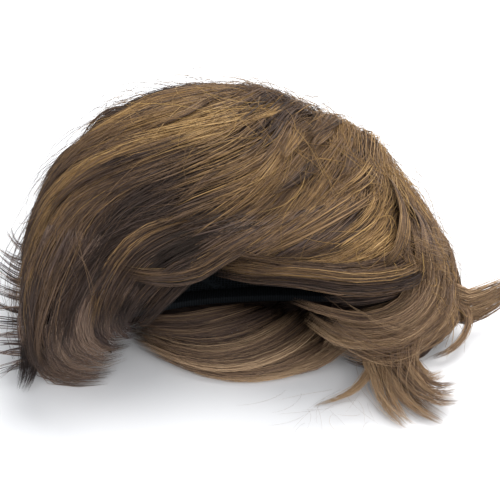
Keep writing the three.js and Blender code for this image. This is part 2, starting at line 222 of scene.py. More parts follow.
CURTAIN_LOCKS = [
    Lock(((122, 22, 44), (111, -3, 57), (94, -28, 68), (74, -40, 74), (56, -44, 77), (39, -41, 78),
         (22, -36, 76), (3, -32, 73), (-14, -31, 74), (-26, -31, 78)), 15, 8, 260, 0.38, gather=0.2,
         starts=0.35),
    Lock(((118, 30, 52), (105, 2, 64), (86, -25, 73), (63, -36, 76), (43, -37, 77), (22, -32, 78), (1, -28, 80),
         (-26, -29, 83)), 16, 7, 260, 0.46, gather=0.2, starts=0.4),
    Lock(((96, 44, 79), (78, -2, 83), (54, -26, 81), (27, -29, 79), (-3, -26, 82)), 18, 6, 200, 0.48,
         gather=0.3),
    Lock(((20, 4, 93), (5, -17, 93), (-13, -28, 88), (-34, -38, 80), (-58, -45, 83), (-78, -44, 88)), 12, 5,
         130, 0.3, gather=0.4, bunches=2),
    Lock(((-15, -28, 84), (-33, -39, 79), (-52, -46, 81), (-71, -47, 84)), 10, 4, 80, 0.24, gather=0.4),
    Lock(((0, -6, 95), (-25, -26, 86), (-39, -35, 80), (-54, -44, 67), (-71, -45, 42)), 20, 6, 240, 0.08,
         gather=0.4),
    Lock(((-8, -14, 93), (-33, -25, 90), (-53, -37, 86), (-71, -47, 70), (-83, -48, 40)), 22, 6, 240, 0.06,
         gather=0.4),
    Lock(((-28, -11, 97), (-52, -23, 95), (-70, -36, 89), (-84, -47, 69), (-93, -50, 40)), 22, 6, 200, 0.16,
         gather=0.4),
    Lock(((95, 68, 74), (99, 38, 79), (99, 10, 80), (92, -14, 77), (80, -31, 75)), 22, 4, 170, 0.56, gather=0.1,
         starts=0.4, bunches=3, facing=FORWARD_AND_SIDE),
    Lock(((134, 26, 40), (130, 9, 57), (113, -4, 73), (99, -6, 82), (87, -5, 87)), 26, 3, 46, 0.62, gather=0.0,
         starts=0.5, bunches=7, fine=True),
]
# Most of these locks bend down to the floor: their raised tones are partly painted bounce light from the pale
# floor
FRINGE_LOCKS = [
    Lock(((-124, -20, 46), (-137, -37, 20), (-140, -49, 8), (-143, -61, 2)), 15, 9, 200, 0.12, gather=0.2,
         bunches=1),
    Lock(((-116, -6, 90), (-127, -28, 58), (-135, -35, 26), (-128, -47, 11), (-108, -52, 7), (-88, -50, 5)), 24,
         9, 320, 0.72, gather=0.2),
    Lock(((-100, -16, 94), (-112, -35, 66), (-121, -39, 36), (-116, -47, 18), (-101, -48, 11), (-84, -44, 10)),
         24, 9, 320, 0.74, gather=0.2),
    Lock(((-83, -23, 94), (-96, -41, 74), (-106, -42, 44), (-104, -45, 27), (-93, -46, 18), (-78, -39, 17)), 24,
         9, 280, 0.65, gather=0.2),
    Lock(((-72, -30, 90), (-84, -45, 75), (-93, -41, 46), (-92, -42, 31), (-85, -41, 24), (-74, -35, 22)), 20,
         8, 250, 0.5, gather=0.2),
    Lock(((-60, -36, 85), (-71, -47, 72), (-80, -39, 48), (-81, -40, 37), (-76, -39, 31), (-68, -33, 27)), 16,
         7, 190, 0.34, gather=0.2),
]
# Small locks that stick out at the fringe end: their roots, middles and tips from back to front, and how far
# each point strays
LASH_COUNT = 30
LASH = Lock((), 5, 4, 7, 0.34, gather=0.9, bunches=1)
LASH_LINES = (
    (((-129, 20, 52), (-130, 2, 42), (-129, -18, 31), (-128, -36, 21), (-127, -46, 13)), 1.0),
    (((-152, 27, 50), (-154, 9, 40), (-152, -12, 30), (-149, -35, 20), (-145, -47, 11)), 1.5),
    (((-166, 39, 58), (-173, 19, 46), (-174, -8, 33), (-172, -36, 21), (-160, -51, 9)), 3.0),
)
NAPE_LOCKS = [
    Lock(((108, 56, 64), (115, 30, 66), (116, 5, 64), (112, -12, 52), (104, -24, 47)), 22, 4, 190, 0.6,
         gather=0.1, starts=0.4, bunches=3),
    Lock(((121, 48, 51), (126, 26, 52), (126, 2, 50), (120, -16, 38), (110, -27, 34)), 20, 4, 170, 0.64,
         gather=0.1, starts=0.4, bunches=3),
    Lock(((124, 44, 50), (132, 24, 41), (135, 2, 30), (130, -14, 20), (112, -29, 17), (90, -41, 18),
         (66, -46, 24), (50, -46, 33)), 18, 8, 280, 0.68, gather=0.2, starts=0.3),
    Lock(((123, 46, 57), (125, 16, 54), (125, -6, 42), (115, -22, 32), (97, -37, 31), (77, -47, 34),
         (58, -51, 38), (44, -49, 45), (32, -45, 53)), 16, 7, 300, 0.7, gather=0.3, starts=0.3),
    Lock(((106, 24, 74), (110, -4, 66), (110, -17, 47), (100, -31, 43), (83, -43, 43), (65, -48, 45),
         (46, -48, 52)), 16, 7, 260, 0.6, gather=0.2, starts=0.3),
    Lock(((94, 2, 77), (100, -17, 68), (98, -24, 50), (87, -35, 47), (72, -43, 48), (57, -46, 53),
         (42, -45, 57), (24, -41, 62)), 10, 5, 120, 0.62, gather=0.2, starts=0.3),
    # A dark filler lock, tone 0.24, behind the curtain's lower edge: painted shade in the gap under the curtain
    Lock(((108, 0, 52), (101, -14, 53), (83, -29, 59), (62, -37, 61), (42, -39, 64)), 16, 6, 150, 0.24,
         gather=0.1),
    Lock(((110, 0, 43), (103, -20, 36), (85, -31, 34), (60, -37, 38)), 26, 7, 200, 0.58, gather=0.1),
    Lock(((122, 4, 37), (116, -15, 24), (98, -28, 19), (72, -38, 23)), 26, 7, 240, 0.62, gather=0.1),
    Lock(((129, -6, 17), (116, -25, 11), (97, -37, 9), (77, -44, 13), (57, -44, 20)), 16, 8, 180, 0.44,
         gather=0.2),
    Lock(((120, 14, 24), (140, -2, 22), (153, 0, 23), (167, 6, 27), (183, 11, 34)), 26, 7, 330, 0.88,
         gather=0.4, bunches=1, fray=0.22, facing=FORWARD),
    Lock(((126, 8, 26), (142, -6, 22), (142, -16, 13), (130, -30, 9), (116, -33, 4)), 7, 5, 80, 0.76,
         gather=0.4),
    # The bundle's locks lie on the floor: their raised tones are partly painted bounce light from the pale
    # floor
    Lock(((96, -10, 26), (79, -38, 15), (82, -57, 11), (85, -74, 6), (96, -90, 2)), 17, 9, 200, 1.0, gather=0.5,
         fray=0.22, facing=UP),
    Lock(((100, -10, 27), (85, -40, 16), (91, -61, 13), (101, -75, 7), (119, -86, 2)), 16, 9, 200, 0.9,
         gather=0.6, fray=0.22, facing=UP),
    Lock(((104, -10, 28), (92, -41, 17), (99, -61, 15), (110, -73, 10), (130, -71, 6)), 15, 9, 190, 0.66,
         gather=0.6, fray=0.22, facing=UP),
    Lock(((108, -10, 28), (97, -41, 17), (102, -59, 16), (113, -67, 12), (131, -61, 9)), 14, 9, 160, 0.5,
         gather=0.6, fray=0.22, facing=UP),
    Lock(((112, -10, 28), (101, -42, 17), (105, -55, 16), (112, -60, 14), (123, -53, 12)), 12, 7, 110, 0.76,
         gather=0.6, fray=0.22, facing=UP),
    Lock(((98, -12, 24), (82, -36, 14), (76, -50, 12), (63, -64, 6), (38, -72, 2)), 8, 5, 70, 0.94, bunches=1,
         facing=UP),
    Lock(((40, -47, 68), (58, -56, 56), (80, -57, 41), (102, -47, 28), (122, -30, 18)), 26, 4, 44, 0.66,
         gather=0.0, starts=0.5, bunches=7, fray=0.34, fine=True),
    Lock(((119, 10, 62), (120, -16, 53), (110, -36, 46), (90, -53, 44), (64, -60, 48), (38, -58, 59)), 36, 4,
         70, 0.66, gather=0.0, starts=0.4, bunches=9, fray=0.3, fine=True),
    Lock(((92, -34, 32), (85, -56, 25), (85, -70, 19), (92, -80, 12), (105, -86, 4)), 34, 6, 44, 0.7,
         gather=0.0, starts=0.3, bunches=7, fray=0.45, fine=True, facing=UP),
]
# The fan lies on the floor: its raised tones are partly painted bounce light from the pale floor
FAN_LOCKS = [
    Lock(((72, 6, 9), (66, -11, 12), (58, -24, 10), (42, -37, 3)), 18, 7, 130, 0.8),
    Lock(((68, -6, 9), (57, -23, 10), (40, -36, 6), (10, -44, 3)), 16, 7, 150, 0.84),
    Lock(((65, -13, 9), (47, -32, 8), (20, -42, 4), (-9, -45, 3), (-38, -38, 4), (-66, -24, 6)), 14, 6, 190,
         0.84),
    Lock(((57, -6, 10), (36, -29, 11), (8, -42, 8), (-22, -41, 5), (-52, -31, 7), (-76, -18, 8)), 18, 7, 230,
         0.78),
    Lock(((47, 4, 10), (26, -26, 13), (-1, -40, 10), (-29, -39, 8), (-58, -27, 9), (-80, -16, 10)), 20, 8, 240,
         0.7),
    Lock(((37, 9, 10), (14, -21, 14), (-12, -33, 12), (-39, -32, 11), (-65, -20, 11), (-83, -13, 12)), 20, 8,
         230, 0.63),
    Lock(((26, 10, 10), (3, -15, 15), (-23, -25, 14), (-47, -23, 13), (-76, -15, 13)), 20, 8, 210, 0.58),
    Lock(((12, 10, 10), (-10, -10, 16), (-33, -17, 15), (-54, -16, 14), (-79, -12, 14)), 18, 8, 190, 0.53),
    Lock(((-1, 10, 10), (-23, -5, 16), (-43, -10, 16), (-61, -10, 16), (-82, -10, 16)), 16, 7, 160, 0.48),
]
FAN_FRAY = 0.3
LOOP_LOCK = Lock(((-82, 112, 106), (-93, 108, 108), (-105, 101, 104), (-115, 92, 94), (-122, 80, 82)),
                 9, 3, 34, 0.46, gather=0.3)
# Locks of the upper layers: places of their roots in degrees, lengths, widths and how far back a root may lie
# in millimetres, heights along them, and the mean and spread of their tones against the hair round them
LAYERS = {
    "count": 20, "around": (50, 152), "reach": (66, 114), "length": (48, 80), "width": (7, 13), "back": 112,
    "lift": ((0, 0.4, 1), (-1.5, 1.4, 2.8)), "tone": (-0.06, 0.05),
}
# Single strands that stand off the hair: places of their roots in degrees, lengths and heights in
# millimetres, radians of the arch, tones as above, and shares of the width
FLYAWAYS = {
    "around": (-15, 200), "reach": (12, 120), "length": (35, 90), "rise": (1, 16), "arch": (1.2, 2.6),
    "tone": (0.04, 0.12), "width": (0.7, 1.2),
}
# Fine ends on the floor: the patch where they start, its front, their heights, lengths and widths in
# millimetres, and their headings and bends in degrees
FLOOR_HAIRS = {
    "count": 22, "x": (22, 76), "y": (-84, -50), "front": -103, "high": 5, "length": (18, 45), "width": 0.09,
    "heading": (190, 300), "bend": 45,
}

# Photograph's camera: millimetres in the wig's own coordinates
CAMERA_TARGET = (0.0, 40.0, 36.0)
CAMERA_ELEVATION = 38.0
CAMERA_DISTANCE = 620.0
CAMERA_LENS = 64.66
CAMERA_SENSOR = 36.0
# Stage, in metres and watts
FLOOR_SIZE = 8.0
SKY = {"colour": (0.95, 0.97, 1.0, 1), "strength": 0.75}
LIGHTS = {
    "key": {"place": (0.35, 0.45, 1.1), "size": 0.9, "power": 16.0},
    "front": {"place": (0.5, -1.0, 0.9), "size": 1.0, "power": 5.0},
}


def linear(colour):
    """Linear colour with alpha from an sRGB hex value."""
    parts = [int(colour[i:i + 2], 16) / 255 for i in (1, 3, 5)]
    return [c / 12.92 if c <= 0.04045 else ((c + 0.055) / 1.055) ** 2.4 for c in parts] + [1.0]


class WigSizes(bpy.types.PropertyGroup):
    """Sizes of the fibre and of the locks."""

    strand: bpy.props.FloatProperty(
        name="Strand", description="Diameter of a drawn strand, which stands for a few fibres",
        default=0.36 * MM, unit="LENGTH", precision=5)
    flyaway: bpy.props.FloatProperty(
        name="Flyaway", description="Diameter of a loose strand", default=0.3 * MM, unit="LENGTH",
        precision=5)
    length: bpy.props.FloatProperty(
        name="Length", description="Length of the combed hair", default=125 * MM, unit="LENGTH")
    lock_width: bpy.props.FloatProperty(
        name="Lock width", description="Width of a combed lock", default=15 * MM, unit="LENGTH")
    lock_spacing: bpy.props.FloatProperty(
        name="Lock spacing", description="Distance between the roots of two locks of a row",
        default=8 * MM, unit="LENGTH")
    wisp: bpy.props.FloatProperty(
        name="Wisp", description="Width of a flat wisp of fibres that lie close together", default=1.1 * MM,
        unit="LENGTH", precision=4)
    wisps_in_lock: bpy.props.IntProperty(
        name="Wisps in a lock", description="Count of wisps in a combed lock", default=8)
    strands_in_lock: bpy.props.IntProperty(
        name="Strands in a lock", description="Count of single strands in a combed lock", default=13)
    flyaways: bpy.props.IntProperty(
        name="Flyaways", description="Count of loose strands", default=1000)


class WigColours(bpy.types.PropertyGroup):
    """Colours of the fibre, the cap and the stage."""

    shade: bpy.props.FloatVectorProperty(
        name="Shade", description="Darkest fibre", subtype="COLOR", size=4, default=linear("#2c2320"))
    dark: bpy.props.FloatVectorProperty(
        name="Dark", description="Cool brown fibre", subtype="COLOR", size=4, default=linear("#52423b"))
    middle: bpy.props.FloatVectorProperty(
        name="Middle", description="Middle brown fibre", subtype="COLOR", size=4,
        default=linear("#7c6146"))
    golden: bpy.props.FloatVectorProperty(
        name="Golden", description="Golden brown fibre", subtype="COLOR", size=4,
        default=linear("#a5814c"))
    light: bpy.props.FloatVectorProperty(
        name="Light", description="Lightest fibre", subtype="COLOR", size=4, default=linear("#cfa969"))
    cap: bpy.props.FloatVectorProperty(
        name="Cap", description="Black net of the cap", subtype="COLOR", size=4,
        default=linear("#24292d"))
    band: bpy.props.FloatVectorProperty(
        name="Band", description="Black tape of the edge band", subtype="COLOR", size=4,
        default=linear("#15181b"))
    floor: bpy.props.FloatVectorProperty(
        name="Floor", description="Pale floor", subtype="COLOR", size=4, default=linear("#f4f4f5"))


def dome_points(places):
    """Points of the dome. A place is two degrees of reach from the back: to the nape and to the top."""
    reach = np.hypot(places[..., 0], places[..., 1])
    near = np.maximum(reach, 1e-9)
    to_nape = places[..., 0] / near
    to_top = places[..., 1] / near
    angle = np.radians(reach)
    swell = np.abs(np.sin(angle))
    side = swell * (1 + SIDE_FILL * (1 - swell))
    under = swell * (1 + UNDER_FILL * (1 - swell))
    forward = (1 - np.cos(angle)) / 2
    cut = 1 - DOME["shoulder"] * to_nape.clip(0) * to_top.clip(0)
    half = np.where(to_nape > 0, DOME["nape"], DOME["fringe"]) * cut
    height = np.where(to_top > 0, DOME["up"] * swell * (1 - DOME["lean"] * to_nape) * cut, DOME["down"] * under)
    return np.stack((
        DOME["x"] + half * side * to_nape,
        DOME["y"] + DOME["back"] * np.cos(angle) - DOME["bend"] * np.abs(to_nape) ** BEND_POWER * forward,
        DOME["z"] + height * to_top,
    ), axis=-1)


def unit(vectors):
    """Vectors of length 1."""
    return vectors / np.maximum(np.linalg.norm(vectors, axis=-1, keepdims=True), 1e-9)


def dome_frame(places):
    """The two directions of the dome's places, and its outward normal."""
    step = 0.05
    sideways = np.array((step, 0.0))
    upwards = np.array((0.0, step))
    to_nape = (dome_points(places + sideways) - dome_points(places - sideways)) / (2 * step)
    to_top = (dome_points(places + upwards) - dome_points(places - upwards)) / (2 * step)
    return to_nape, to_top, unit(np.cross(to_top, to_nape))


def dots(a, b):
    """Scalar product of each pair of vectors."""
    return (a * b).sum(axis=-1)


def places_along(to_nape, to_top, ways):
    """Changes of place that give these ways over the dome."""
    nn = dots(to_nape, to_nape)
    nt = dots(to_nape, to_top)
    tt = dots(to_top, to_top)
    wn = dots(ways, to_nape)
    wt = dots(ways, to_top)
    area = np.maximum(nn * tt - nt * nt, 1e-6)
    return np.stack(((wn * tt - wt * nt) / area, (wt * nn - wn * nt) / area), axis=-1)


def comb_heading(points):
    """Heading of the combed hair at these points, in radians."""
    column = np.clip(np.interp(points[..., 0], COMB_X, range(len(COMB_X))), 0, len(COMB_X) - 1.001)
    row = np.clip(np.interp(points[..., 1], COMB_Y, range(len(COMB_Y))), 0, len(COMB_Y) - 1.001)
    i = column.astype(int)
    j = row.astype(int)
    u = column - i
    v = row - j
    near = COMB_HEADINGS[j, i] * (1 - u) + COMB_HEADINGS[j, i + 1] * u
    far = COMB_HEADINGS[j + 1, i] * (1 - u) + COMB_HEADINGS[j + 1, i + 1] * u
    return np.radians(near * (1 - v) + far * v)


def comb_ways(places, turns):
    """Unit ways of combed hair over the dome, turned by some radians, with the dome's frame."""
    to_nape, to_top, normal = dome_frame(places)
    heading = comb_heading(dome_points(places)) + turns
    ways = np.stack((np.cos(heading), np.sin(heading), np.full_like(heading, -FALL)), axis=-1)
    ways = unit(ways - normal * dots(ways, normal)[..., None])
    return to_nape, to_top, normal, ways


def comb(places, lengths, way):
    """Places along combed strands, at even shares of their lengths. A way turns, curls and sways them."""
    track = [places]
    steps = (STATIONS - 1) * SUBSTEPS
    for step in range(1, steps + 1):
        share = step / steps
        turned = way["turn"] + way["curl"] * share + way["sway"] * np.sin(share * SWAY + way["phase"])
        to_nape, to_top, _, ways = comb_ways(places, turned)
        places = places + places_along(to_nape, to_top, ways * (lengths / steps)[:, None])
        if step % SUBSTEPS == 0:
            track.append(places)
    return np.stack(track, axis=1)


def share_on_dome(track):
    """Share of each combed strand that comes before the last reach."""
    around = np.degrees(np.arctan2(track[..., 1], track[..., 0]))
    around = np.where(around < -90, around + 360, around)
    past = np.hypot(track[..., 0], track[..., 1]) > np.interp(around, LAST_AROUND, LAST_REACH)
    return np.where(past.any(axis=1), past.argmax(axis=1) / (STATIONS - 1), 1.0)


def places_at(reach, around):
    """Places of the dome from degrees of reach and radians around the mouth."""
    return np.asarray(reach)[..., None] * np.stack((np.cos(around), np.sin(around)), axis=-1)


def run_along(line):
    """Length of a line up to each of its points."""
    return np.concatenate(((0.0,), np.cumsum(np.linalg.norm(np.diff(line, axis=0), axis=1))))


def row_roots(rng, row, spacing):
    """Places of the roots of a row's locks, evenly spaced with some unevenness."""
    around = np.radians(np.linspace(row.first, row.last, ROW_STEPS))
    run = run_along(dome_points(places_at(row.reach, around)))
    count = max(2, round(run[-1] / spacing))
    at = (np.arange(count) + 0.5 + rng.uniform(-ROW_UNEVEN, ROW_UNEVEN, count)) * run[-1] / count
    reach = row.reach + rng.uniform(-REACH_UNEVEN, REACH_UNEVEN, count)
    return places_at(np.maximum(reach, 1.0), np.interp(at, run, around))


def patch_change(points, patches):
    """Change that some patches make at these points."""
    change = np.zeros(points.shape[:-1])
    for patch in patches:
        away = np.linalg.norm(points[..., :len(patch.at)] - np.array(patch.at), axis=-1) / patch.size
        change = change + patch.change * np.exp(-away ** 2)
    return change


def region_tone_and_painted_light(points):
    """Tone of the fibre by place: dark at the fringe end, golden to the crown and nape. It is partly the
    fibre's
    own dye and partly painted light: painted shade where the hair faces away from the light or lies under other
    hair, and painted highlights on the top.
    """
    return np.interp(points[..., 0], TONE_X, TONES) + patch_change(points, TONE_AND_PAINTED_LIGHT_PATCHES)


def tress_field(rng, points, size, drawn):
    """Smooth uneven values over the hair, about 1 either way, that change over a size in millimetres, and
    over a longer one along the combing."""
    points = points - (points @ COMBED_WAY)[:, None] * COMBED_WAY * (1 - 1 / drawn)
    waves = unit(rng.normal(size=(DRIFT_WAVES, 3))) * rng.uniform(0.6, 1.4, (DRIFT_WAVES, 1))
    phases = rng.uniform(0, 2 * math.pi, DRIFT_WAVES)
    swings = np.sin(points @ (waves * 2 * math.pi / size).T + phases)
    return swings.sum(axis=-1) / math.sqrt(DRIFT_WAVES / 2)


def group_tresses(rng, points, ways, sides):
    """Groups locks into tresses that are long along the combing: the tress of each lock, the count of
    tresses, and how far the lock lies to its tress's side, from -1 to 1."""
    count = max(4, round(len(points) / LOCKS_IN_TRESS))
    middles = points[rng.choice(len(points), count, replace=False)]
    away = points[:, None] - middles
    along = dots(away, ways[:, None])
    tress = np.argmin(dots(away, away) - TRESS_DRAWN * along ** 2, axis=1)
    aside = dots(points - middles[tress], sides) / TRESS_HALF_WIDTH
    return tress, count, np.clip(aside, -1, 1)


def packed_surface():
    """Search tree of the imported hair, in the wig's own millimetres."""
    corners, faces = [], []
    for part in PACKED:
        mesh = bpy.data.objects[f"packed_{part}_hair"].data
        faces += [[len(corners) + corner for corner in face.vertices] for face in mesh.polygons]
        corners += [vertex.co / MM - Vector(WIG_TO_PART) for vertex in mesh.vertices]
    return BVHTree.FromPolygons(corners, faces)


def packed_heights(packed, points, normals):
    """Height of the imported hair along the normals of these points, smoothed along each strand."""
    search = 16.0
    starts = (points + normals * search).reshape(-1, 3).tolist()
    ways = (-normals).reshape(-1, 3).tolist()
    hits = [packed.ray_cast(start, way, 2 * search)[3] for start, way in zip(starts, ways)]
    heights = np.array([search - hit if hit is not None else -search for hit in hits]).reshape(points.shape[:2])
    padded = np.pad(heights, ((0, 0), (1, 1)), mode="edge")
    return np.maximum(heights, (padded[:, :-2] + 2 * heights + padded[:, 2:]) / 4)


def clear_of_packed(packed, points, room):
    """Points of loose strands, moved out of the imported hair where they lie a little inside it."""
    moved = []
    for point, away in zip(points.reshape(-1, 3).tolist(), np.repeat(room, points.shape[1]).tolist()):
        place, normal, _, _ = packed.find_nearest(point, CLEAR_WITHIN)
        if place is not None:
            short = away - (Vector(point) - place).dot(normal)
            if short > 0:
                point = Vector(point) + normal * short
        moved.append(tuple(point))
    return np.array(moved).reshape(points.shape)


def combed_strands(rng, rows, sizes, packed):
    """Spines, ways up, tones, widths and thicknesses of combed locks, each of wisps and single strands."""
    width = sizes.lock_width / MM
    roots = np.concatenate([row_roots(rng, row, sizes.lock_spacing / MM) for row in rows])
    locks = len(roots)
    at = dome_points(roots)
    _, _, normal, ways = comb_ways(roots, np.zeros(locks))
    tress, tresses, aside = group_tresses(rng, at, ways, np.cross(normal, ways))

    def uneven(kind):
        return rng.normal(0, TRESS_SPREAD[kind], tresses)[tress] + rng.normal(0, LOCK_SPREAD[kind], locks)

    def drift(kind):
        change, size, drawn = DRIFTS[kind]
        return change * tress_field(rng, at, size, drawn)

    lock_turns = np.radians(uneven("turn") - TRESS_TURN * aside + drift("turn"))
    lock_curls = np.radians(uneven("curl"))
    lock_sways = np.radians(uneven("sway"))
    lock_phases = rng.uniform(*PHASES, tresses)[tress] + rng.normal(0, LOCK_SPREAD["phase"], locks)
    lock_lengths = sizes.length / MM * rng.uniform(*LOCK_LENGTHS, locks)
    lock_lifts = uneven("lift") + TRESS_SWELL * (1 - aside ** 2) - 0.8 + drift("lift")
    lock_tones = uneven("tone") + drift("tone")

    lock = np.tile(np.arange(locks), sizes.wisps_in_lock + sizes.strands_in_lock)
    count = len(lock)
    wisp = np.arange(count) < locks * sizes.wisps_in_lock
    across = rng.uniform(-1, 1, count)
    behind = rng.uniform(-1, 1, count)
    to_nape, to_top, normal, ways = comb_ways(roots[lock], lock_turns[lock])
    sides = np.cross(normal, ways)
    shifts = sides * (across * width / 2)[:, None] + ways * (behind * ROOT_SCATTER)[:, None]
    places = roots[lock] + places_along(to_nape, to_top, shifts)
    lengths = lock_lengths[lock] * rng.uniform(*STRAND_LENGTHS, count)
    stray = ~wisp & (rng.random(count) < STRAY_SHARE)
    spread = np.where(stray, STRAY_TURN, STRAND_TURN)
    closing = across * CLOSING * width / 2 / lengths
    way = {
        "turn": lock_turns[lock] - closing + np.radians(rng.normal(0, 1, count) * spread),
        "curl": lock_curls[lock] + np.radians(rng.normal(0, 1.5, count) * spread),
        "sway": lock_sways[lock],
        "phase": lock_phases[lock] + rng.normal(0, 0.25, count),
    }
    share = share_on_dome(comb(places, lengths, way))
    kept = share > LEAST_SHARE
    lock, wisp, across, stray, places = lock[kept], wisp[kept], across[kept], stray[kept], places[kept]
    lengths = (lengths * share)[kept]
    track = comb(places, lengths, {key: values[kept] for key, values in way.items()})
    count = len(lock)

    surface = dome_points(track)
    normal = dome_frame(track)[2]
    lift = -1.0 - ROOT_SINK * (1 - ALONG) ** 2 + lock_lifts[lock][:, None] * ALONG
    lift = lift + (LOCK_SWELL * (1 - across ** 2) - rng.uniform(0, 1.0, count) - 0.5 * wisp)[:, None]
    lift = lift + (stray * rng.uniform(*STRAY_LIFT, count))[:, None] * ALONG
    lift = lift + patch_change(surface, LIFT_PATCHES)
    heights = packed_heights(packed, surface, normal)
    clear = np.where(wisp, WISP_CLEAR, STRAND_CLEAR) + rng.uniform(0, 1.2, count)
    lift = np.maximum(lift, heights + (clear + 0.6 * lock_lifts[lock].clip(0))[:, None])
    lift[:, 0] = np.minimum(lift[:, 0], heights[:, 0] - 1.0)
    spines = surface + normal * lift[..., None]
    tones = region_tone_and_painted_light(surface[:, STATIONS // 2]) + lock_tones[lock]
    tones = tones + rng.normal(0, 0.09, count) - wisp * WISP_DARKER + stray * 0.08
    widths = np.where(wisp, sizes.wisp, sizes.strand) / MM * rng.uniform(*STRAND_WIDTHS, count)
    thicks = np.where(wisp, 0.25 * widths, widths)
    return spines, normal, tones, widths, thicks


def values_at(places, along, values):
    """Vectors between those of a line, at places along it."""
    return np.stack([np.interp(places, along, values[:, axis]) for axis in range(3)], axis=-1)


def smooth_path(points, count):
    """Evenly spaced points of a smooth curve through these points."""
    points = np.array(points, float)
    ends = np.concatenate((2 * points[:1] - points[1:2], points, 2 * points[-1:] - points[-2:-1]))
    share = np.linspace(0, 1, 24, endpoint=False)[:, None]
    pieces = []
    for a, b, c, d in zip(ends, ends[1:], ends[2:], ends[3:]):
        pieces.append(0.5 * (2 * b + (c - a) * share + (2 * a - 5 * b + 4 * c - d) * share ** 2
                             + (3 * b - a - 3 * c + d) * share ** 3))
    line = np.concatenate(pieces + [points[-1:]])
    run = run_along(line)
    return values_at(np.linspace(0, run[-1], count), run, line)


def loose_strands(rng, locks, facing, sizes, packed):
    """Spines, ways up, tones, widths and thicknesses of locks that leave the dome, each of wisps and single
    strands."""
    parts = []
    shares = np.linspace(0, 1, LINE_POINTS)
    for lock in locks:
        wisps = 0 if lock.fine else max(2, round(lock.strands / STRANDS_TO_A_WISP))
        count = lock.strands + wisps
        wisp = np.arange(count) < wisps
        line = smooth_path(lock.path, LINE_POINTS)
        tangent = unit(np.gradient(line, axis=0))
        side = unit(np.cross(np.array(facing if lock.facing is None else lock.facing), tangent))
        up = np.cross(tangent, side)
        start = rng.uniform(0, lock.starts, count)
        end = 1 - ENDS_UNEVEN * rng.random(count) ** 1.6 - wisp * 0.1
        share = start[:, None] + (end - start)[:, None] * ALONG
        across = rng.uniform(-1, 1, count)
        depth = rng.uniform(-1, 1, count) * np.sqrt(1 - across ** 2) * np.where(wisp, 0.6, 1.0)
        bunches = lock.bunches or max(1, round(lock.width / BUNCH_WIDTH))
        bunch = np.minimum(((across + 1) / 2 * bunches).astype(int), bunches - 1)
        middle = (bunch + 0.5) / bunches * 2 - 1
        bunch_lift = rng.normal(0, 0.25, bunches)[bunch]
        gathered = middle[:, None] + (across - middle)[:, None] * (1 - lock.gather * share ** 1.5)
        fullness = np.interp(share, (0, 0.3, 0.6, 1), (0.7, 1, 0.88, 0.5 if bunches > 1 else 0.6))
        phase = rng.uniform(0, 2 * math.pi, count)[:, None]
        wander = np.sin(share * SWAY + phase) * 0.05 + rng.normal(0, lock.fray, count)[:, None] * share
        offset_side = (gathered + wander) * fullness * lock.width / 2
        offset_up = (depth + bunch_lift)[:, None] * fullness * lock.thick / 2
        tones = lock.tone + rng.normal(0, BUNCH_TONE, bunches)[bunch] + rng.normal(0, LOOSE_TONE, count)
        thread = 0.7 * sizes.flyaway if lock.fine else sizes.strand
        widths = np.where(wisp, 0.9 * sizes.wisp, thread) / MM * rng.uniform(*STRAND_WIDTHS, count)
        ups = values_at(share, shares, up)
        spines = values_at(share, shares, line) + values_at(share, shares, side) * offset_side[..., None]
        spines = spines + ups * offset_up[..., None]
        room = np.where(wisp, WISP_CLEAR, rng.uniform(STRAND_CLEAR, 1.6, count))
        spines[:, 1:] = clear_of_packed(packed, spines[:, 1:], room)
        parts.append((spines, ups, tones - wisp * WISP_DARKER, widths, np.where(wisp, 0.3 * widths, widths)))
    return tuple(np.concatenate(values) for values in zip(*parts))


def random_way(rng, count, turn, curl, sway):
    """A way for loose combing, from the spread of its turn, curl and sway in degrees."""
    return {
        "turn": np.radians(rng.normal(0, turn, count)), "curl": np.radians(rng.normal(0, curl, count)),
        "sway": np.radians(rng.normal(0, sway, count)), "phase": rng.uniform(*PHASES, count),
    }


def layer_locks(rng):
    """Locks of the upper layers, whose pointed ends lie a little off the combed hair."""
    count = LAYERS["count"]
    around = np.radians(np.linspace(*LAYERS["around"], count)[rng.permutation(count)])
    places = places_at(rng.uniform(*LAYERS["reach"], count), around)
    lengths = rng.uniform(*LAYERS["length"], count)
    way = random_way(rng, count, turn=7, curl=18, sway=6)
    lengths = lengths * share_on_dome(comb(places, lengths, way))
    track = comb(places, lengths, way)
    surface = dome_points(track)
    normal = dome_frame(track)[2]
    lift = np.interp(ALONG, *LAYERS["lift"]) + patch_change(surface, LIFT_PATCHES)
    paths = surface + normal * lift[..., None]
    tones = region_tone_and_painted_light(surface[:, STATIONS // 2]) + rng.normal(*LAYERS["tone"], count)
    widths = rng.uniform(*LAYERS["width"], count)
    return [Lock(path, width, 3, 48, tone, gather=0.75, starts=0.45, bunches=1, facing=ways[STATIONS // 2])
            for path, ways, width, tone, length in zip(paths, normal, widths, tones, lengths)
            if length > SHORTEST_LAYER and path[0, 1] < LAYERS["back"]]


def lash_locks(rng):
    """Small locks that stick out at the fringe end, between the lines of their roots and tips."""
    locks = []
    for share in np.linspace(0, 1, LASH_COUNT):
        path = []
        for line, spread in LASH_LINES:
            point = values_at(share * (len(line) - 1), range(len(line)), np.array(line))
            path.append(point + rng.normal(0, spread, 3))
        locks.append(LASH._replace(path=path))
    return locks


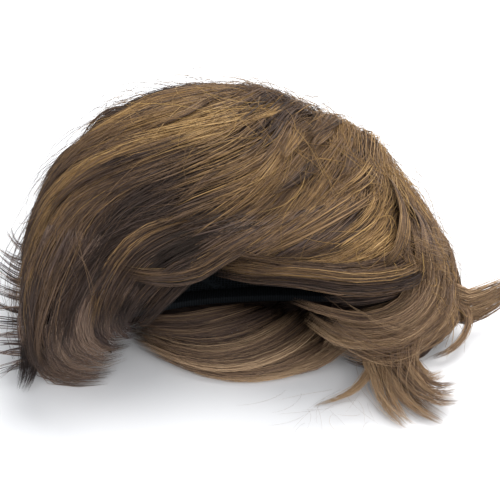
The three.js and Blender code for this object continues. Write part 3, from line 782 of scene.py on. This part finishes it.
def flyaway_strands(rng, sizes):
    """Spines, ways up, tones, widths and thicknesses of single strands that stand off the hair."""
    count = sizes.flyaways
    around = np.radians(rng.uniform(*FLYAWAYS["around"], count))
    places = places_at(rng.uniform(*FLYAWAYS["reach"], count), around)
    lengths = rng.uniform(*FLYAWAYS["length"], count)
    way = random_way(rng, count, turn=30, curl=75, sway=15)
    lengths = lengths * np.maximum(share_on_dome(comb(places, lengths, way)), 0.3)
    track = comb(places, lengths, way)
    normal = dome_frame(track)[2]
    rise = rng.gamma(2.0, 3.6, count).clip(*FLYAWAYS["rise"])
    lift = -1 + rise[:, None] * np.sin(ALONG * rng.uniform(*FLYAWAYS["arch"], count)[:, None])
    spines = dome_points(track) + normal * lift[..., None]
    spines[..., 2] = np.minimum(spines[..., 2], TALLEST)
    tones = region_tone_and_painted_light(spines[:, STATIONS // 2]) + rng.normal(*FLYAWAYS["tone"], count)
    widths = sizes.flyaway / MM * rng.uniform(*FLYAWAYS["width"], count)
    return spines, normal, tones, widths, widths


def floor_strands(rng):
    """Spines, ways up, tones, widths and thicknesses of fine ends that lie on the floor before the fan."""
    count = FLOOR_HAIRS["count"]
    heading = np.radians(rng.uniform(*FLOOR_HAIRS["heading"], count))
    bend = np.radians(rng.normal(0, FLOOR_HAIRS["bend"], count))
    length = rng.uniform(*FLOOR_HAIRS["length"], count)
    turned = heading[:, None] + bend[:, None] * ALONG
    steps = np.stack((np.cos(turned), np.sin(turned), np.zeros_like(turned)), axis=-1)
    spines = np.cumsum(steps, axis=1) * (length / STATIONS)[:, None, None]
    starts = np.stack([rng.uniform(*FLOOR_HAIRS[axis], count) for axis in "xy"], axis=-1)
    spines[..., :2] += starts[:, None]
    spines[..., 1] = np.maximum(spines[..., 1], FLOOR_HAIRS["front"])
    spines[..., 2] = rng.uniform(0.5, FLOOR_HAIRS["high"], count)[:, None] * np.sin(ALONG * 2.4)
    ups = np.broadcast_to(np.array(UP), spines.shape)
    widths = FLOOR_HAIRS["width"] * rng.uniform(0.8, 1.2, count)
    return spines, ups, rng.normal(0.5, 0.1, count), widths, widths


def strand_mesh(name, spines, ups, tones, widths, thicks):
    """One mesh of closed tapered tubes. Its map holds the tone across and the share of the length along."""
    count = len(spines)
    rings = STATIONS - 1
    spines = (spines + WIG_TO_PART) * MM
    spines[..., 2] = np.maximum(spines[..., 2], LEAST_HEIGHT * MM)
    along = unit(np.gradient(spines, axis=1))
    side = unit(np.cross(ups, along))
    up = np.cross(along, side)
    taper = np.interp(ALONG, *TAPER)[:rings]
    angle = np.arange(STRAND_SIDES) * 2 * math.pi / STRAND_SIDES - math.pi / 6
    half_width = (widths[:, None] * taper * MM / 2)[..., None, None]
    half_thick = (thicks[:, None] * taper * MM / 2)[..., None, None]
    around = side[:, :rings, None] * np.cos(angle)[:, None] * half_width
    around = around + up[:, :rings, None] * np.sin(angle)[:, None] * half_thick
    ring_points = spines[:, :rings, None] + around
    points = np.concatenate((ring_points.reshape(count, -1, 3), spines[:, -1:]), axis=1)

    each = rings * STRAND_SIDES + 1
    k = np.arange(STRAND_SIDES)
    after = (k + 1) % STRAND_SIDES
    first = (np.arange(rings - 1) * STRAND_SIDES)[:, None]
    second = first + STRAND_SIDES
    quads = np.stack((first + k, first + after, second + after, second + k), axis=-1)
    last = (rings - 1) * STRAND_SIDES
    tips = np.stack((last + k, last + after, np.full(STRAND_SIDES, each - 1)), axis=-1)
    triangles = np.concatenate((tips, k[None, ::-1]))
    base = (np.arange(count) * each)[:, None]
    corners = np.concatenate(((quads.reshape(1, -1) + base).ravel(), (triangles.reshape(1, -1) + base).ravel()))
    quad_count = count * (rings - 1) * STRAND_SIDES
    triangle_count = count * (STRAND_SIDES + 1)
    starts = np.concatenate((np.arange(quad_count) * 4, quad_count * 4 + np.arange(triangle_count) * 3))

    mesh = bpy.data.meshes.new(name)
    mesh.vertices.add(count * each)
    mesh.vertices.foreach_set("co", points.astype(np.float32).ravel())
    mesh.loops.add(len(corners))
    mesh.loops.foreach_set("vertex_index", corners.astype(np.int32))
    mesh.polygons.add(len(starts))
    mesh.polygons.foreach_set("loop_start", starts.astype(np.int32))
    tone = tones[:, None] + (widths * FIBRES_ACROSS)[:, None] * np.append(np.tile(k - 1, rings), 0.0)
    tone = np.clip(tone, 0.01, 0.99)
    length = np.append(np.repeat(ALONG[:rings], STRAND_SIDES), 1.0)
    fibre_map = np.stack((tone, np.broadcast_to(length * 0.98 + 0.01, tone.shape)), axis=-1).reshape(-1, 2)
    mesh.uv_layers.new(name="OFBake").uv.foreach_set("vector", fibre_map[corners].astype(np.float32).ravel())
    mesh.update(calc_edges=True)
    mesh.shade_smooth()
    return mesh


def dress(piece, material, replaced=()):
    """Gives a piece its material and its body."""
    piece.data.materials.clear()
    piece.data.materials.append(material)
    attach(piece, BODY)
    if replaced:
        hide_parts(*replaced)


def add_node(tree, kind, settings=(), inputs=(), links=()):
    """Adds a shader node with its settings, its input values and the sockets linked to its inputs."""
    node = tree.nodes.new(kind)
    for key, value in dict(settings).items():
        setattr(node, key, value)
    for key, value in dict(inputs).items():
        node.inputs[key].default_value = value
    for key, socket in dict(links).items():
        tree.links.new(socket, node.inputs[key])
    return node


def new_material(name):
    """An empty material with its Principled shader."""
    material = bpy.data.materials.new(name)
    material.use_nodes = True
    return material, material.node_tree, material.node_tree.nodes["Principled BSDF"]


def faded(colour, share):
    """A linear colour with a share of it turned to a cool reddish grey."""
    grey = 0.21 * colour[0] + 0.72 * colour[1] + 0.07 * colour[2]
    return [c + (grey * tint - c) * share for c, tint in zip(colour, FADE_TINT)] + [1]


def scaled(colour, share):
    """A linear colour that is darker or lighter by a share."""
    return [c * share for c in colour[:3]] + [1]


def colour_ramp(tree, factor, *stops):
    """Adds a ramp from a factor to colours, with a place and a colour for each stop."""
    ramp = add_node(tree, "ShaderNodeValToRGB", links={"Fac": factor})
    elements = ramp.color_ramp.elements
    while len(elements) < len(stops):
        elements.new(0.5)
    for element, (place, colour) in zip(elements, stops):
        element.position = place
        element.color = colour
    return ramp.outputs[0]


def object_place(tree):
    """Adds the place on the piece, as a socket."""
    return add_node(tree, "ShaderNodeTexCoord").outputs["Object"]


def set_surface(tree, shader, colour, roughness, specular):
    """Gives a shader its colour from a socket, its roughness and its gloss."""
    tree.links.new(colour, shader.inputs["Base Color"])
    shader.inputs["Roughness"].default_value = roughness
    shader.inputs["Specular IOR Level"].default_value = specular


def set_relief(tree, shader, height, strength, depth):
    """Gives a shader a fine relief from a socket of heights, with its depth in metres."""
    bump = add_node(tree, "ShaderNodeBump", inputs={"Strength": strength, "Distance": depth},
                    links={"Height": height})
    tree.links.new(bump.outputs[0], shader.inputs["Normal"])


def fibre_material(name, colours, fade=0.0):
    """Heat-resistant synthetic fibre, drawn as smooth threads: a soft gloss along each strand, and tones
    that differ from strand to strand, darker at the root. Fading makes it cooler: partly painted light, the
    cool bounce light of the floor on low hair and shade at the fringe end, and partly a cooler dye."""
    material, tree, shader = new_material(name)
    fibre_map = add_node(tree, "ShaderNodeUVMap", {"uv_map": "OFBake"})
    parts = add_node(tree, "ShaderNodeSeparateXYZ", links={0: fibre_map.outputs[0]})
    streak = add_node(tree, "ShaderNodeMapping", inputs={"Scale": (110.0, 2.5, 1.0)},
                      links={"Vector": fibre_map.outputs[0]})
    noise = add_node(tree, "ShaderNodeTexNoise", {"noise_dimensions": "2D"},
                     {"Scale": 1.0, "Detail": 3.0, "Roughness": 0.65}, {"Vector": streak.outputs[0]})
    spread = add_node(tree, "ShaderNodeMapRange", inputs={"To Min": -0.1, "To Max": 0.1},
                      links={"Value": noise.outputs["Fac"]})
    tone = add_node(tree, "ShaderNodeMath", {"operation": "ADD"},
                    links={0: parts.outputs["X"], 1: spread.outputs[0]})
    stops = [(0.25 * place, faded(getattr(colours, name), fade)) for place, name in enumerate(FIBRE_TONES)]
    fibre = colour_ramp(tree, tone.outputs[0], *stops)
    root = colour_ramp(tree, parts.outputs["Y"], (0.0, (0.45, 0.42, 0.4, 1)), (0.35, (1, 1, 1, 1)))
    shaded = add_node(tree, "ShaderNodeMix", {"data_type": "RGBA", "blend_type": "MULTIPLY"}, {0: 1.0},
                      {6: fibre, 7: root})
    tree.links.new(shaded.outputs[2], shader.inputs["Base Color"])
    gloss = add_node(tree, "ShaderNodeMapRange", inputs={"To Min": 0.36, "To Max": 0.52},
                     links={"Value": noise.outputs["Fac"]})
    tree.links.new(gloss.outputs[0], shader.inputs["Roughness"])
    shader.inputs["IOR"].default_value = 1.53
    shader.inputs["Specular IOR Level"].default_value = 0.28
    shader.inputs["Specular Tint"].default_value = (1.0, 0.88, 0.72, 1)
    return material


def packed_shade_material(colours):
    """The same fibre packed deep under the outer strands, coloured as painted shade: darker than the fibre,
    since it only shows in the shaded gaps between strands, with soft streaks along the combing.
    """
    material, tree, shader = new_material("packed fibre, painted shade")
    turned = add_node(tree, "ShaderNodeMapping", inputs={
        "Rotation": (0.0, math.radians(25), math.radians(-25)), "Scale": (60.0, 900.0, 900.0)},
        links={"Vector": object_place(tree)})
    noise = add_node(tree, "ShaderNodeTexNoise", inputs={"Scale": 1.0, "Detail": 3.0},
                     links={"Vector": turned.outputs[0]}).outputs["Fac"]
    # painted shade: the shade and dark fibre colours, darkened further
    colour = colour_ramp(tree, noise, (0.3, scaled(colours.shade, 0.5)), (0.7, scaled(colours.dark, 0.7)))
    set_surface(tree, shader, colour, 0.8, 0.15)
    set_relief(tree, shader, noise, 0.6, 0.6 * MM)
    return material


def net_material(colours):
    """Knitted nylon net: black and nearly matt, with a fine mesh that shows as small pits."""
    material, tree, shader = new_material("knitted nylon net")
    mesh_size = 2.2 * MM
    cells = add_node(tree, "ShaderNodeTexVoronoi", {"feature": "DISTANCE_TO_EDGE"},
                     {"Scale": 1 / mesh_size, "Randomness": 0.25}, {"Vector": object_place(tree)})
    thread = add_node(tree, "ShaderNodeMapRange", inputs={"From Max": 0.18, "To Min": 1.0, "To Max": 0.0},
                      links={"Value": cells.outputs["Distance"]}).outputs[0]
    colour = colour_ramp(tree, thread, (0.0, scaled(colours.cap, 0.5)), (1.0, scaled(colours.cap, 2.4)))
    set_surface(tree, shader, colour, 0.75, 0.3)
    set_relief(tree, shader, thread, 0.8, 0.4 * MM)
    return material


def tape_material(colours):
    """Woven elastic tape: black, with fine cross ribs and a faint sheen."""
    material, tree, shader = new_material("woven elastic tape")
    rib = 1.6 * MM
    ribs = add_node(tree, "ShaderNodeTexWave", {"wave_type": "BANDS", "bands_direction": "X"},
                    {"Scale": 2 * math.pi / rib / 20, "Distortion": 0.6, "Detail": 1.0},
                    {"Vector": object_place(tree)}).outputs["Fac"]
    colour = colour_ramp(tree, ribs, (0.0, scaled(colours.band, 0.6)), (1.0, scaled(colours.band, 1.8)))
    set_surface(tree, shader, colour, 0.85, 0.15)
    set_relief(tree, shader, ribs, 0.7, 0.3 * MM)
    return material


def floor_material(colours):
    """Matt white card: nearly even, with a faint tooth."""
    material, tree, shader = new_material("matt white card")
    noise = add_node(tree, "ShaderNodeTexNoise", inputs={"Scale": 900.0, "Detail": 2.0},
                     links={"Vector": object_place(tree)}).outputs["Fac"]
    colour = colour_ramp(tree, noise, (0.0, scaled(colours.floor, 0.985)), (1.0, colours.floor))
    set_surface(tree, shader, colour, 0.9, 0.1)
    return material


def copy_of_node(node, name):
    """A merged copy of a CAD node, selected and active."""
    bpy.ops.object.select_all(action="DESELECT")
    piece = bpy.data.objects.new(name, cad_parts[node].data.copy())
    bpy.context.collection.objects.link(piece)
    bpy.context.view_layer.objects.active = piece
    piece.select_set(True)
    bpy.ops.object.mode_set(mode="EDIT")
    bpy.ops.mesh.select_all(action="SELECT")
    bpy.ops.mesh.remove_doubles(threshold=0.01 * MM)
    bpy.ops.object.mode_set(mode="OBJECT")
    return piece


def apply_modifier(piece, kind, **settings):
    """Adds a modifier to the active piece and applies it."""
    modifier = piece.modifiers.new(kind.lower(), kind)
    for key, value in settings.items():
        setattr(modifier, key, value)
    bpy.ops.object.modifier_apply(modifier=modifier.name)


def cut_off(point, facing):
    """Cuts off what the active piece has beyond a plane, and closes the cut."""
    bpy.ops.object.mode_set(mode="EDIT")
    bpy.ops.mesh.select_all(action="SELECT")
    bpy.ops.mesh.bisect(plane_co=(np.array(point) + WIG_TO_PART) * MM, plane_no=facing, use_fill=True,
                        clear_outer=True)
    bpy.ops.object.mode_set(mode="OBJECT")


class WIG_OT_cap(bpy.types.Operator):
    """Make the net cap from its solid."""

    bl_idname = "wig.cap"
    bl_label = "Cap"

    def execute(self, context):
        piece = copy_of_node("cap", "net_cap")
        apply_modifier(piece, "SUBSURF", levels=1, render_levels=1)
        bpy.ops.object.shade_smooth()
        dress(piece, net_material(context.scene.wig_colours), ("cap",))
        return {"FINISHED"}


class WIG_OT_edge_band(bpy.types.Operator):
    """Make the edge band that is folded over the hem."""

    bl_idname = "wig.edge_band"
    bl_label = "Edge band"

    def execute(self, context):
        piece = copy_of_node("edge_band", "tape_edge_band")
        apply_modifier(piece, "BEVEL", width=0.25 * MM, segments=2, limit_method="ANGLE")
        bpy.ops.object.shade_smooth_by_angle(angle=math.radians(50))
        dress(piece, tape_material(context.scene.wig_colours), ("edge_band",))
        return {"FINISHED"}


class WIG_OT_hair_masses(bpy.types.Operator):
    """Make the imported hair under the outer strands, in the form of the solids."""

    bl_idname = "wig.hair_masses"
    bl_label = "Packed hair"

    def execute(self, context):
        material = packed_shade_material(context.scene.wig_colours)
        for part, packing in PACKED.items():
            piece = copy_of_node(f"{part}_hair", f"packed_{part}_hair")
            apply_modifier(piece, "REMESH", mode="VOXEL", voxel_size=PACKED_VOXEL * MM)
            apply_modifier(piece, "SMOOTH", factor=0.5, iterations=8)
            apply_modifier(piece, "DISPLACE", strength=-packing["depth"] * MM, mid_level=0.0)
            for point, facing in packing["cuts"]:
                cut_off(point, facing)
            bpy.ops.object.shade_smooth()
            dress(piece, material, (f"{part}_hair",))
        return {"FINISHED"}


def strand_tools(context, group):
    """What a group of strands is made with: sizes, material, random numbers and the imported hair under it."""
    material = fibre_material(f"synthetic fibre, {group}", context.scene.wig_colours, LIGHT_AND_DYE_FADES[group])
    rng = np.random.default_rng(SEED + list(LIGHT_AND_DYE_FADES).index(group))
    return context.scene.wig_sizes, material, rng, packed_surface()


def add_strands(name, slot, material, *groups):
    """Adds one piece of strands from groups of spines, ways up, tones, widths and thicknesses."""
    mesh = strand_mesh(name, *(np.concatenate(parts) for parts in zip(*groups)))
    piece = bpy.data.objects.new(name, mesh)
    bpy.context.collection.objects.link(piece)
    dress(piece, material)


class WIG_OT_top_strands(bpy.types.Operator):
    """Comb the strands of the crown, the upper side and the curtain over the mouth."""

    bl_idname = "wig.top_strands"
    bl_label = "Top strands"

    def execute(self, context):
        sizes, material, rng, packed = strand_tools(context, "top")
        for part, loose in (("crown", [LOOP_LOCK]), ("side", []), ("front", [])):
            groups = [combed_strands(rng, ROWS[part], sizes, packed)]
            if loose:
                groups.append(loose_strands(rng, loose, UP, sizes, packed))
            add_strands(f"{part}_strands", "top_fibre", material, *groups)
        locks = CURTAIN_LOCKS + layer_locks(rng)
        curtain = loose_strands(rng, locks, FORWARD_AND_UP, sizes, packed)
        add_strands("curtain_strands", "top_fibre", material, curtain)
        return {"FINISHED"}


class WIG_OT_fringe_strands(bpy.types.Operator):
    """Comb the strands of the fringe end, which turn down to the floor."""

    bl_idname = "wig.fringe_strands"
    bl_label = "Fringe strands"

    def execute(self, context):
        sizes, material, rng, packed = strand_tools(context, "fringe")
        add_strands(
            "fringe_strands", "fringe_fibre", material,
            combed_strands(rng, ROWS["fringe"], sizes, packed),
            loose_strands(rng, FRINGE_LOCKS, FORWARD, sizes, packed),
            loose_strands(rng, lash_locks(rng), UP, sizes, packed))
        return {"FINISHED"}


class WIG_OT_nape_strands(bpy.types.Operator):
    """Comb the strands of the nape end, with its flipped ends."""

    bl_idname = "wig.nape_strands"
    bl_label = "Nape strands"

    def execute(self, context):
        sizes, material, rng, packed = strand_tools(context, "nape")
        add_strands(
            "nape_strands", "nape_fibre", material,
            combed_strands(rng, ROWS["nape"], sizes, packed),
            loose_strands(rng, NAPE_LOCKS, FORWARD_AND_SIDE, sizes, packed))
        return {"FINISHED"}


class WIG_OT_under_strands(bpy.types.Operator):
    """Lay the strands that the wig lies on, with the fan in front of the mouth."""

    bl_idname = "wig.under_strands"
    bl_label = "Under strands"

    def execute(self, context):
        sizes, material, rng, packed = strand_tools(context, "under")
        add_strands(
            "under_strands", "under_fibre", material,
            combed_strands(rng, ROWS["under"], sizes, packed),
            loose_strands(rng, [lock._replace(fray=FAN_FRAY) for lock in FAN_LOCKS], UP, sizes, packed))
        return {"FINISHED"}


class WIG_OT_flyaways(bpy.types.Operator):
    """Scatter the single strands that stand off the hair."""

    bl_idname = "wig.flyaways"
    bl_label = "Flyaways"

    def execute(self, context):
        sizes, material, rng, _ = strand_tools(context, "loose")
        add_strands("flyaway_strands", "top_fibre", material, flyaway_strands(rng, sizes), floor_strands(rng))
        return {"FINISHED"}


class WIG_OT_stage(bpy.types.Operator):
    """Make the floor, the lights and the camera."""

    bl_idname = "wig.stage"
    bl_label = "Stage"

    def execute(self, context):
        scene = context.scene
        colours = scene.wig_colours
        bpy.ops.object.select_all(action="DESELECT")
        bpy.ops.mesh.primitive_plane_add(size=FLOOR_SIZE)
        floor = context.object
        floor.name = "floor"
        floor.data.materials.append(floor_material(colours))

        world = bpy.data.worlds.new("white studio")
        world.use_nodes = True
        sky = world.node_tree.nodes["Background"]
        sky.inputs["Color"].default_value = SKY["colour"]
        sky.inputs["Strength"].default_value = SKY["strength"]
        scene.world = world
        scene.view_settings.view_transform = "Standard"

        for name, settings in LIGHTS.items():
            bpy.ops.object.light_add(type="AREA", location=settings["place"])
            light = context.object
            light.name = f"{name}_light"
            light.data.size = settings["size"]
            light.data.energy = settings["power"]
            light.rotation_mode = "QUATERNION"
            light.rotation_quaternion = (light.location * -1).to_track_quat("-Z", "Y")

        elevation = math.radians(CAMERA_ELEVATION)
        back = np.array((0.0, -math.cos(elevation), math.sin(elevation)))
        place = (np.array(CAMERA_TARGET) + WIG_TO_PART + back * CAMERA_DISTANCE) * MM
        bpy.ops.object.camera_add(location=tuple(place), rotation=(math.radians(90) - elevation, 0, 0))
        camera = context.object
        camera.data.lens = CAMERA_LENS
        camera.data.sensor_width = CAMERA_SENSOR
        camera.data.clip_start = 0.01
        scene.camera = camera
        return {"FINISHED"}


PIECE_OPERATORS = (
    WIG_OT_cap, WIG_OT_edge_band, WIG_OT_hair_masses, WIG_OT_top_strands, WIG_OT_fringe_strands,
    WIG_OT_nape_strands, WIG_OT_under_strands, WIG_OT_flyaways, WIG_OT_stage,
)


class WIG_PT_panel(bpy.types.Panel):
    """Lists the wig's pieces, sizes and colours."""

    bl_idname = "WIG_PT_panel"
    bl_label = "Short wig"
    bl_space_type = "VIEW_3D"
    bl_region_type = "UI"
    bl_category = "Wig"

    def draw(self, context):
        for operator in PIECE_OPERATORS:
            self.layout.operator(operator.bl_idname)
        for group in (context.scene.wig_sizes, context.scene.wig_colours):
            for name in group.__annotations__:
                self.layout.prop(group, name)


CLASSES = (WigSizes, WigColours, *PIECE_OPERATORS, WIG_PT_panel)


def register():
    """Registers the classes and their settings."""
    for cls in CLASSES:
        bpy.utils.register_class(cls)
    bpy.types.Scene.wig_sizes = bpy.props.PointerProperty(type=WigSizes)
    bpy.types.Scene.wig_colours = bpy.props.PointerProperty(type=WigColours)


def unregister():
    """Removes the classes and their settings."""
    del bpy.types.Scene.wig_colours
    del bpy.types.Scene.wig_sizes
    for cls in reversed(CLASSES):
        bpy.utils.unregister_class(cls)


def main():
    """Builds the wig."""
    register()
    bpy.ops.wig.cap()
    bpy.ops.wig.edge_band()
    bpy.ops.wig.hair_masses()
    bpy.ops.wig.top_strands()
    bpy.ops.wig.fringe_strands()
    bpy.ops.wig.nape_strands()
    bpy.ops.wig.under_strands()
    bpy.ops.wig.flyaways()
    bpy.ops.wig.stage()


if __name__ == "__main__":
    main()
